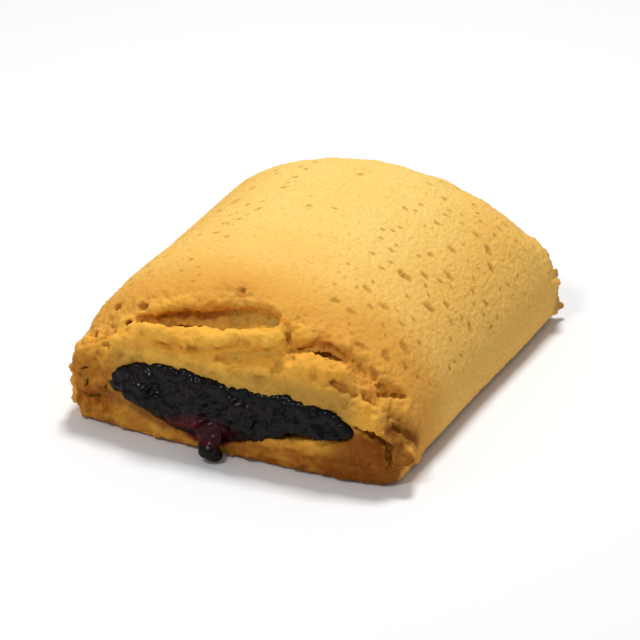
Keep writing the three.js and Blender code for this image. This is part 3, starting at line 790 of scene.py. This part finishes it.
# %% Remesh the jam and roughen its ends
JAM_CELL = 0.22
SWOLLEN = 0.5  # millimetres, inside the tunnel
modify(jam, "REMESH", mode="VOXEL", voxel_size=JAM_CELL * MM)
relax(jam, 2)
place = points(jam)
x, y, z = place.T
drop = ramp(FRONT_CUT + 0.3 - y, 0, 0.8) * ramp(-z, -3.6, -2.6)
lumpy = near_cuts(place, 3.0, 0.6) * (1 - drop)
lift(jam, SWOLLEN, near_cuts(place, 6, 4) * (1 - near_cuts(place, 0.8, -0.3)))
displace(jam, clouds("seeds", 0.9, noise_basis="VORONOI_F1", noise_depth=0), -0.3, lumpy)
displace(jam, clouds("pulp", 0.6, noise_depth=1, contrast=1.3), 0.22, lumpy)
print("jam cells:", len(jam.data.polygons))

# %% [markdown]
# ## The drip and the right tip
#
# The drip ran out thin and set with a round bead that hangs close to the ground. It is drawn in all round,
# and then its bottom is pulled down. The jam's right tip has shrunk away from the dough under it, so it is
# lifted, and leaves a narrow shadow.

# %% Draw in the drip and lift the tip
DRAWN_IN, TIP_LIFT = 0.38, 1.3
BEAD_CLEAR = 0.15  # millimetres between the bead and the ground
lift(jam, -DRAWN_IN, drop)
x, y, z = points(jam).T
lowest = float(z.min())
hanging = ramp(FRONT_CUT + 0.3 - y, 0, 0.8) * ramp(-z, -2.2, -1.2)
tip = ramp(x, 4, 9) * ramp(-z, -6.5, -3.5) * ramp(FRONT_CUT + 3 - y, 0, 1.5)
lift(jam, BEAD_CLEAR - lowest, hanging, "Z")
lift(jam, TIP_LIFT, tip, "Z")
relax(jam, 1)
print("bead's lowest point, mm:", round(lowest, 2), "to", round(float(points(jam)[:, 2].min()), 2))

# %% Thin the jam inside the tunnel
JAM_KEPT = 0.5
thin_out(jam, JAM_KEPT, 1 - near_cuts(points(jam), 3.0, 2.5))

# %% [markdown]
# ## Thin jam
#
# Light passes through jam only where it lies thin on the dough: along its lower left edge and in the neck of
# the drip. Real transmission would need many light bounces and leave noise, so these places are masked and
# get a red colour of their own.

# %% Where the jam is thin enough to glow red
x, y, z = points(jam).T
lower_left = ramp(-z - 0.35 * np.maximum(-x - 3, 0), -6.0, -4.2) * ramp(z, 2.4, 3.2)
lower_left *= ramp(-x, -3, 0) * (0.5 + 0.5 * ramp(-x, 1.5, 4))
neck = ramp(FRONT_CUT - y, -0.4, 0.8) * ramp(-z, -3.6, -2.8) * ramp(z, 2.0, 2.8)
attribute(jam, "thin", np.maximum(0.6 * lower_left, 0.4 * neck) * ramp(FRONT_CUT + 3 - y, 0, 1))
print("thin jam:", round(float((lower_left > 0.5).mean()), 3))

# %% [markdown]
# ## Material helpers
#
# Materials are trees of nodes. Short helpers keep them readable: one feeds a socket, one makes a node, one
# reads a mask from the mesh, one mixes two colours by a mask, three make noise, stretch a value and do sums,
# and the last sets a shader. Patterns use Object coordinates, in metres, so a noise scale of 1000 has
# features about a millimetre wide.

# %% Node helpers
def material(name):
    """A material, its tree and its Principled shader."""
    made = bpy.data.materials.new(name)
    made.use_nodes = True
    return made, made.node_tree, made.node_tree.nodes["Principled BSDF"]


def feed(tree, socket, value):
    """Links a socket to another node's output, or sets it to a plain value."""
    if isinstance(value, bpy.types.NodeSocket):
        tree.links.new(value, socket)
    else:
        socket.default_value = value


def node(tree, kind, inputs=(), **settings):
    """Adds a node, sets its properties and feeds its inputs."""
    made = tree.nodes.new("ShaderNode" + kind)
    for name, value in settings.items():
        setattr(made, name, value)
    for name, value in dict(inputs).items():
        feed(tree, made.inputs[name], value)
    return made


def mask_of(tree, name):
    """A mask that the mesh carries."""
    return node(tree, "Attribute", attribute_name=name).outputs["Fac"]


def mix(tree, share, one, other):
    """A colour that goes from one to other as share goes from 0 to 1."""
    made = node(tree, "Mix", data_type="RGBA")
    for index, value in ((0, share), (6, one), (7, other)):
        feed(tree, made.inputs[index], (*value, 1) if isinstance(value, tuple) else value)
    return made.outputs[2]


def noise(tree, where, scale, detail=2.0, roughness=0.5):
    """Noise from 0 to 1."""
    inputs = {"Vector": where, "Scale": scale, "Detail": detail, "Roughness": roughness}
    return node(tree, "TexNoise", inputs).outputs["Fac"]


def levels(tree, value, low, high, to_low=0.0, to_high=1.0):
    """Stretches the part of a value between low and high."""
    inputs = {"Value": value, "From Min": low, "From Max": high, "To Min": to_low, "To Max": to_high}
    return node(tree, "MapRange", inputs, clamp=True).outputs["Result"]


def sums(tree, operation, one, other, clamp=False):
    """One sum with two values, such as ADD or MULTIPLY."""
    return node(tree, "Math", {0: one, 1: other}, operation=operation, use_clamp=clamp).outputs[0]


def set_shader(tree, shader, colour, bump, **settings):
    """Gives a shader its colour and its bump, and sets its other sockets."""
    feed(tree, shader.inputs["Base Color"], colour)
    feed(tree, shader.inputs["Normal"], bump.outputs["Normal"])
    for name, value in settings.items():
        shader.inputs[name.replace("_", " ")].default_value = value


# %% [markdown]
# ## Baked dough
#
# Butter and egg make the crust golden, and the oven turns its high spots darker. Most colours below are the
# dough's own, without light, but some are painted light and shade: a paler crown and brighter ridges are
# painted highlight, and the darker hollows, crevices, pits, creases, lips and foot are wholly or partly
# painted shade. They are laid over each other in order: first the crust, then the torn dough, then what the
# heat and the jam did to both, with the painted shade of the hollows among them. Baked dough is matt, but
# light enters it a little, so it gets a short subsurface scattering, which softens the shadows in its grain.

# %% The dough's colours
# The crown's paler gold is a painted highlight.
GOLD, CROWN_HIGHLIGHT_GOLD, EDGE_GOLD = (0.82, 0.475, 0.105), (0.82, 0.56, 0.16), (0.68, 0.30, 0.038)
TAN_SPECKLE, YOLK_SPECK = (0.58, 0.27, 0.045), (0.72, 0.40, 0.03)
CRUMB, BAKED_CRUMB, PALE_CRUMB = (0.82, 0.42, 0.055), (0.72, 0.32, 0.038), (0.50, 0.27, 0.048)
# The ridges' bright gold is a painted highlight.
RIDGE_HIGHLIGHT_GOLD = (0.92, 0.52, 0.075)
# The orange and olive inside the tears are partly painted shade.
ORANGE, OLIVE, KHAKI = (0.56, 0.19, 0.016), (0.44, 0.22, 0.03), (0.52, 0.40, 0.08)
# The browns of the crevices and of the deepest hollows are painted shade.
CREVICE_SHADE_BROWN, DEEP_SHADE_BROWN = (0.42, 0.15, 0.016), (0.13, 0.05, 0.01)
# The pits' colours are partly their own tint, partly painted shade.
PIT_ORANGE_AND_SHADE, PIT_OLIVE_AND_SHADE = (0.52, 0.17, 0.018), (0.46, 0.24, 0.03)
# The brown is the tray's browning; at the foot of the cuts its mask also paints shade.
BROWN, BURNT, STAIN = (0.30, 0.085, 0.008), (0.19, 0.045, 0.003), (0.09, 0.008, 0.010)

# %% Lay the dough's colours over each other
baked, tree, shader = material("baked_dough")
where = node(tree, "TexCoord").outputs["Object"]
patches = levels(tree, noise(tree, where, 110.0, 3.0), 0.38, 0.62, -0.15, 0.15)
speckle = levels(tree, noise(tree, where, 2200.0, 3.0, 0.7), 0.52, 0.7)
specks = levels(tree, noise(tree, where, 800.0, 2.0, 0.5), 0.66, 0.72)
baked_spots = levels(tree, noise(tree, where, 200.0, 3.0, 0.5), 0.3, 0.7)
mottled = levels(tree, noise(tree, where, 420.0, 3.0), 0.35, 0.6, 0.5, 1.0)
tear_inside_and_shade = mix(tree, levels(tree, noise(tree, where, 260.0, 2.0), 0.4, 0.6), ORANGE, OLIVE)
# The first colour: gold, painted paler on the crown as a painted highlight.
colour = mix(tree, sums(tree, "ADD", mask_of(tree, "crown"), patches, clamp=True), GOLD, CROWN_HIGHLIGHT_GOLD)
# Among these layers, the raised band's is painted highlight, the deepest hollows' and the crevices' are
# painted shade, and those of the hollows, pits, toasted lines and foot are partly painted shade.
LAYERS = [  # mask, by name or made of nodes, how strong, and colour
    ("edge", 0.8, EDGE_GOLD),
    (speckle, 0.5, TAN_SPECKLE),
    (specks, 0.5, YOLK_SPECK),
    ("torn", 1.0, mix(tree, baked_spots, CRUMB, BAKED_CRUMB)),
    ("pale", 1.0, PALE_CRUMB),
    ("ridge_highlight", 0.45, RIDGE_HIGHLIGHT_GOLD),
    ("brown_and_shade", mottled, BROWN),
    ("burnt", 1.0, BURNT),
    ("toasted_and_shade", 0.65, ORANGE),
    ("hollow", 0.8, mix(tree, mask_of(tree, "khaki"), tear_inside_and_shade, KHAKI)),
    ("deep", 0.8, DEEP_SHADE_BROWN),
    ("crevice_shade", 0.75, CREVICE_SHADE_BROWN),
    ("pit", 0.75, mix(tree, mottled, PIT_ORANGE_AND_SHADE, PIT_OLIVE_AND_SHADE)),
    ("base", 1.0, BROWN),
    ("stain", 1.0, STAIN),
]
for mask, strength, top in LAYERS:
    share = sums(tree, "MULTIPLY", mask_of(tree, mask) if isinstance(mask, str) else mask, strength)
    colour = mix(tree, share, colour, top)
print("dough colours:", len(LAYERS) + 1)

# %% Finish the dough
sandy = noise(tree, where, 2600.0, 4.0, 0.65)
grain = node(tree, "Bump", {"Height": sandy, "Strength": 0.9, "Distance": 0.0002})
set_shader(tree, shader, colour, grain, Roughness=0.7, Specular_IOR_Level=0.09, Subsurface_Weight=0.06,
           Subsurface_Radius=(1.0, 0.5, 0.18), Subsurface_Scale=0.8 * MM)
dough.data.materials.clear()  # the pits left an empty slot
dough.data.materials.append(baked)
print("dough material:", len(tree.nodes), "nodes")

# %% [markdown]
# ## Berry jam
#
# Boiled jam is so dark that its colour shows only where it is thin. The rest is nearly black, and its shape
# shows by its highlights alone. A glossy body would mirror the white floor all over and turn the jam grey. So
# the body is rough and hardly reflects, and a thin clear coat over it gives each drupelet a small bright
# glint. A weak bump breaks the glints up.

# %% The jam's material
JAM_BLACK, JAM_VIOLET, THIN_JAM = (0.0008, 0.0016, 0.0014), (0.009, 0.004, 0.006), (0.11, 0.004, 0.008)
dark, tree, shader = material("dark_jam")
where = node(tree, "TexCoord").outputs["Object"]
body = mix(tree, levels(tree, noise(tree, where, 420.0, 2.0), 0.4, 0.65), JAM_BLACK, JAM_VIOLET)
skin = node(tree, "Bump", {"Height": noise(tree, where, 1100.0, 3.0), "Strength": 0.6, "Distance": 0.0003})
set_shader(tree, shader, mix(tree, mask_of(tree, "thin"), body, THIN_JAM), skin, Roughness=0.4,
           Specular_IOR_Level=0.04, Coat_Weight=0.24, Coat_Roughness=0.2)
jam.data.materials.append(dark)
print("jam material:", len(tree.nodes), "nodes")

# %% [markdown]
# ## Pieces and solids
#
# Each finished piece rides on the cookie's one body and hides the solid that it stands for. The solids stay
# in the file, because the physics uses them.

# %% Put the pieces in place of their solids
for piece, solid, slot in ((dough, "dough", "baked_dough"), (jam, "jam", "berry_jam")):
    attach(piece, "root")
    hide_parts(solid)

# %% [markdown]
# ## Floor and light
#
# The cookie stands on a plain pale floor. One soft light above and a little behind it makes the crown bright
# and lets the cut face fall into shade, and the pale surroundings fill the shadows. A weak light in front is
# there for the glints in the jam. Blender's usual view transform, AgX, pales strong yellows on purpose, as
# film does. The scene uses Standard, so that the crust keeps the colours set above.

# %% Floor
bpy.ops.object.select_all(action="DESELECT")
bpy.ops.mesh.primitive_plane_add(size=1.6, location=(0, 0, -0.02 * MM))  # a hair below the base
floor = bpy.context.object
floor.name = "floor"
pale, tree, shader = material("pale_floor")
where = node(tree, "TexCoord").outputs["Object"]
greys = mix(tree, noise(tree, where, 3.0), (0.80, 0.80, 0.80), (0.84, 0.84, 0.84))
feed(tree, shader.inputs["Base Color"], greys)
shader.inputs["Roughness"].default_value = 0.7
floor.data.materials.append(pale)
print("floor, m:", round(floor.dimensions.x, 1))

# %% Lights
LAMPS = [  # name, place and size in millimetres, and power in watts
    ("key", (-20, 90, 330), 80, 0.87),
    ("fill", (-190, -260, 120), 30, 0.03),
    ("spark", (-30, -230, 290), 60, 0.32),
]
AIM = Vector((0, 0, 10))  # about the middle of the cookie
SKY_STRENGTH = 0.38
for name, spot, size, power in LAMPS:
    bpy.ops.object.light_add(type="AREA", location=Vector(spot) * MM)
    lamp = bpy.context.object
    lamp.name = name
    lamp.data.size = size * MM
    lamp.data.energy = power
    lamp.rotation_euler = (AIM * MM - lamp.location).to_track_quat("-Z", "Y").to_euler()
bpy.context.scene.view_settings.view_transform = "Standard"
sky = bpy.data.worlds.new("studio")
sky.use_nodes = True
sky.node_tree.nodes["Background"].inputs["Color"].default_value = (1, 1, 1, 1)
sky.node_tree.nodes["Background"].inputs["Strength"].default_value = SKY_STRENGTH
bpy.context.scene.world = sky
print("lights:", [name for name, *_ in LAMPS])

# %% [markdown]
# ## Camera
#
# The camera looks down at 27 degrees, past the corner between the front cut and the long side. It stands more
# than half a metre away, because close by the front of so small a thing would look too large. The frame's
# width at the cookie is a plain number, and the lens follows from it.

# %% Camera
AZIMUTH, ELEVATION = math.radians(25.7), math.radians(27.1)
DISTANCE = 541  # millimetres from the point that it looks at
FRAME_WIDTH = 79  # millimetres across the picture at that point
LOOK_RIGHT, LOOK_UP = 0.6, 6.1  # that point, in the picture, from the middle of the base
SENSOR = 36
back = Vector((math.sin(AZIMUTH) * math.cos(ELEVATION), -math.cos(AZIMUTH) * math.cos(ELEVATION),
               math.sin(ELEVATION)))
right = Vector((math.cos(AZIMUTH), math.sin(AZIMUTH), 0))
middle = right * LOOK_RIGHT + back.cross(right) * LOOK_UP
bpy.ops.object.camera_add(location=(middle + back * DISTANCE) * MM)
camera = bpy.context.object
camera.rotation_euler = (-back).to_track_quat("-Z", "Y").to_euler()
camera.data.sensor_width = SENSOR
camera.data.lens = SENSOR * DISTANCE / FRAME_WIDTH
camera.data.clip_start, camera.data.clip_end = 0.01, 10
bpy.context.scene.camera = camera
print("lens:", round(camera.data.lens, 1))
